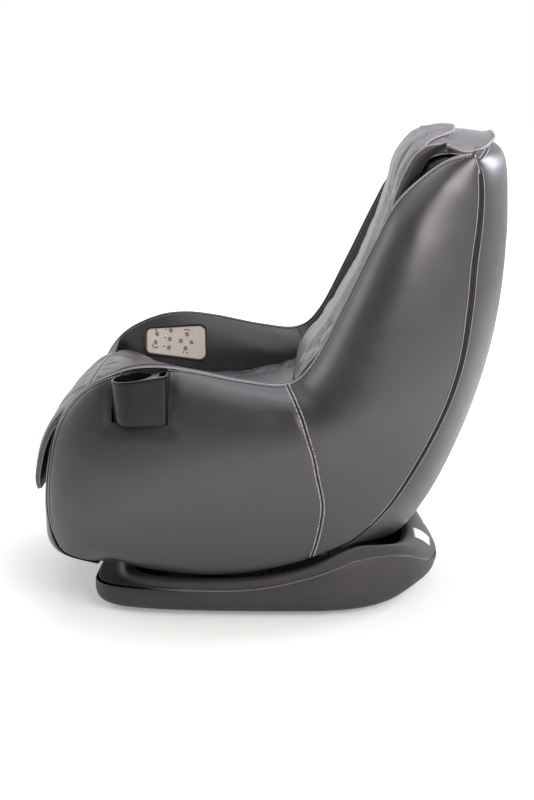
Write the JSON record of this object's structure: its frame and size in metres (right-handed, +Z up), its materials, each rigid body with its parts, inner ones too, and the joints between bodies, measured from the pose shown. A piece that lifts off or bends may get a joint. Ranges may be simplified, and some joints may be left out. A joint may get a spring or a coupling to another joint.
{
  "type": "massage chair",
  "caption": "Compact upholstered massage chair: a shell with wings and arms on curved rails over a moulded base, with a kneading carriage on a curved track behind the back pad.",
  "frame": {"origin": "on the floor under the middle of the chair's bounding box", "axes": "+Z up, +X to the sitter's left, -Y to the front of the chair"},
  "size_m": [0.7298, 0.9618, 0.976],
  "materials": {
    "shell_leather": "satin",
    "pad_leather": "satin",
    "dark_foam": "matte",
    "base_plastic": "gloss",
    "black_gloss": "gloss",
    "dark_trim": "matte",
    "panel_beige": "satin",
    "button_metal": "gloss",
    "steel": "satin",
    "box_metal": "satin",
    "motor_plastic": "matte",
    "foot_rubber": "matte",
    "plywood": "matte",
    "nylon": "satin"
  },
  "bodies": {
    "base": {"base_lower_shell": "base_plastic", "base_upper_shell": "base_plastic", "base_frame": "steel", "feet": "foot_rubber", "tilt_motor": "motor_plastic", "power_supply": "box_metal", "inlet_plate": "dark_trim"},
    "chair": {"side_panel_left": "shell_leather", "side_panel_right": "shell_leather", "back_cover": "shell_leather", "front_panel": "shell_leather", "belly_plate": "dark_trim", "frame_side_left": "steel", "frame_side_right": "steel", "frame_tubes": "steel", "seat_pan": "plywood", "seat_cushion": "dark_foam", "seat_pad": "pad_leather", "back_liner": "dark_foam", "back_pad": "pad_leather", "head_rail": "dark_foam", "rocker_rail_left": "steel", "rocker_rail_right": "steel", "tilt_rack": "steel", "track_left": "steel", "track_right": "steel", "controller_box": "box_metal", "panel_bezel": "dark_trim", "panel_plate": "panel_beige", "cup_holder": "black_gloss"},
    "front_roller_set": {"front_rollers": "motor_plastic"},
    "rear_roller_set": {"rear_rollers": "motor_plastic"},
    "tilt_pinion_shaft": {"tilt_pinion": "steel"},
    "switch_rocker": {"power_switch": "dark_trim"},
    "carriage": {"carriage_frame": "steel", "travel_motor": "motor_plastic", "knead_motor": "motor_plastic"},
    "upper_guides": {"upper_guide_axle": "nylon"},
    "lower_guides": {"lower_guide_axle": "nylon"},
    "travel_shaft": {"travel_pinions": "steel"},
    "kneading_shaft": {"knead_shaft": "steel"},
    "arm_left": {"massage_arm_left": "motor_plastic"},
    "arm_right": {"massage_arm_right": "motor_plastic"},
    "roller_1": {"massage_roller_1": "nylon"},
    "roller_2": {"massage_roller_2": "nylon"},
    "roller_3": {"massage_roller_3": "nylon"},
    "roller_4": {"massage_roller_4": "nylon"},
    "button_body_1": {"button_1": "button_metal"},
    "button_body_2": {"button_2": "button_metal"},
    "button_body_3": {"button_3": "button_metal"},
    "button_body_4": {"button_4": "button_metal"},
    "button_body_5": {"button_5": "button_metal"},
    "button_body_6": {"button_6": "button_metal"},
    "button_body_7": {"button_7": "button_metal"},
    "button_body_8": {"button_8": "button_metal"},
    "button_body_9": {"button_9": "button_metal"}
  },
  "joints": [
    {"name": "tilt", "type": "hinge", "parent": "base", "child": "chair", "pos_m": [0, -0.126, 0.693], "axis": [-1, 0, 0], "range_deg": [-3, 5]},
    {"name": "front_roller_spin", "type": "hinge", "parent": "base", "child": "front_roller_set", "pos_m": [0, -0.25962, 0.06434], "axis": [1, 0, 0], "range_deg": [-100, 160]},
    {"name": "rear_roller_spin", "type": "hinge", "parent": "base", "child": "rear_roller_set", "pos_m": [0, 0.01858, 0.06677], "axis": [1, 0, 0], "range_deg": [-100, 160]},
    {"name": "tilt_pinion_spin", "type": "hinge", "parent": "base", "child": "tilt_pinion_shaft", "pos_m": [0, -0.126, 0.053], "axis": [1, 0, 0], "range_deg": [-70, 115]},
    {"name": "switch_rock", "type": "hinge", "parent": "base", "child": "switch_rocker", "pos_m": [-0.28564, 0.10308, 0.046], "axis": [0, 0, 1], "range_deg": [0, 12]},
    {"name": "carriage_travel", "type": "hinge", "parent": "chair", "child": "carriage", "pos_m": [0, -0.72203, 1.11498], "axis": [1, 0, 0], "range_deg": [-8, 5]},
    {"name": "upper_guide_spin", "type": "hinge", "parent": "carriage", "child": "upper_guides", "pos_m": [0, 0.30748, 0.74199], "axis": [1, 0, 0], "range_deg": [-490, 780]},
    {"name": "lower_guide_spin", "type": "hinge", "parent": "carriage", "child": "lower_guides", "pos_m": [0, 0.24403, 0.59947], "axis": [1, 0, 0], "range_deg": [-490, 780]},
    {"name": "travel_pinion_spin", "type": "hinge", "parent": "carriage", "child": "travel_shaft", "pos_m": [0, 0.31667, 0.65252], "axis": [1, 0, 0], "range_deg": [-430, 270]},
    {"name": "kneading_turn", "type": "hinge", "parent": "carriage", "child": "kneading_shaft", "pos_m": [0, 0.29252, 0.67203], "axis": [1, 0, 0], "continuous": true},
    {"name": "arm_left_rock", "type": "hinge", "parent": "carriage", "child": "arm_left", "pos_m": [0.076, 0.29252, 0.67203], "axis": [1, 0, 0], "range_deg": [-6, 6], "stiffness_Nm_per_rad": 30},
    {"name": "arm_right_rock", "type": "hinge", "parent": "carriage", "child": "arm_right", "pos_m": [-0.076, 0.29252, 0.67203], "axis": [1, 0, 0], "range_deg": [-6, 6], "stiffness_Nm_per_rad": 30},
    {"name": "roller_left_upper_spin", "type": "hinge", "parent": "arm_left", "child": "roller_1", "pos_m": [0.076, 0.27452, 0.72601], "axis": [1, 0, 0], "continuous": true},
    {"name": "roller_left_lower_spin", "type": "hinge", "parent": "arm_left", "child": "roller_2", "pos_m": [0.076, 0.24035, 0.64928], "axis": [1, 0, 0], "continuous": true},
    {"name": "roller_right_upper_spin", "type": "hinge", "parent": "arm_right", "child": "roller_3", "pos_m": [-0.076, 0.27452, 0.72601], "axis": [1, 0, 0], "continuous": true},
    {"name": "roller_right_lower_spin", "type": "hinge", "parent": "arm_right", "child": "roller_4", "pos_m": [-0.076, 0.24035, 0.64928], "axis": [1, 0, 0], "continuous": true},
    {"name": "button_1_press", "type": "slide", "parent": "chair", "child": "button_body_1", "axis": [-0.9545, 0, -0.2983], "range_m": [0, 0.001], "stiffness_N_per_m": 600},
    {"name": "button_2_press", "type": "slide", "parent": "chair", "child": "button_body_2", "axis": [-0.9545, 0, -0.2983], "range_m": [0, 0.001], "stiffness_N_per_m": 600},
    {"name": "button_3_press", "type": "slide", "parent": "chair", "child": "button_body_3", "axis": [-0.9545, 0, -0.2983], "range_m": [0, 0.001], "stiffness_N_per_m": 600},
    {"name": "button_4_press", "type": "slide", "parent": "chair", "child": "button_body_4", "axis": [-0.9545, 0, -0.2983], "range_m": [0, 0.001], "stiffness_N_per_m": 600},
    {"name": "button_5_press", "type": "slide", "parent": "chair", "child": "button_body_5", "axis": [-0.9545, 0, -0.2983], "range_m": [0, 0.001], "stiffness_N_per_m": 600},
    {"name": "button_6_press", "type": "slide", "parent": "chair", "child": "button_body_6", "axis": [-0.9545, 0, -0.2983], "range_m": [0, 0.001], "stiffness_N_per_m": 600},
    {"name": "button_7_press", "type": "slide", "parent": "chair", "child": "button_body_7", "axis": [-0.9545, 0, -0.2983], "range_m": [0, 0.001], "stiffness_N_per_m": 600},
    {"name": "button_8_press", "type": "slide", "parent": "chair", "child": "button_body_8", "axis": [-0.9545, 0, -0.2983], "range_m": [0, 0.001], "stiffness_N_per_m": 600},
    {"name": "button_9_press", "type": "slide", "parent": "chair", "child": "button_body_9", "axis": [-0.9545, 0, -0.2983], "range_m": [0, 0.001], "stiffness_N_per_m": 600}
  ],
  "couplings": [
    {"joint": "front_roller_spin", "follows": "tilt", "ratio": 31.115},
    {"joint": "rear_roller_spin", "follows": "tilt", "ratio": 31.115},
    {"joint": "tilt_pinion_spin", "follows": "tilt", "ratio": 21.857},
    {"joint": "upper_guide_spin", "follows": "carriage_travel", "ratio": -96.261},
    {"joint": "lower_guide_spin", "follows": "carriage_travel", "ratio": -96.261},
    {"joint": "travel_pinion_spin", "follows": "carriage_travel", "ratio": 53.143}
  ]
}
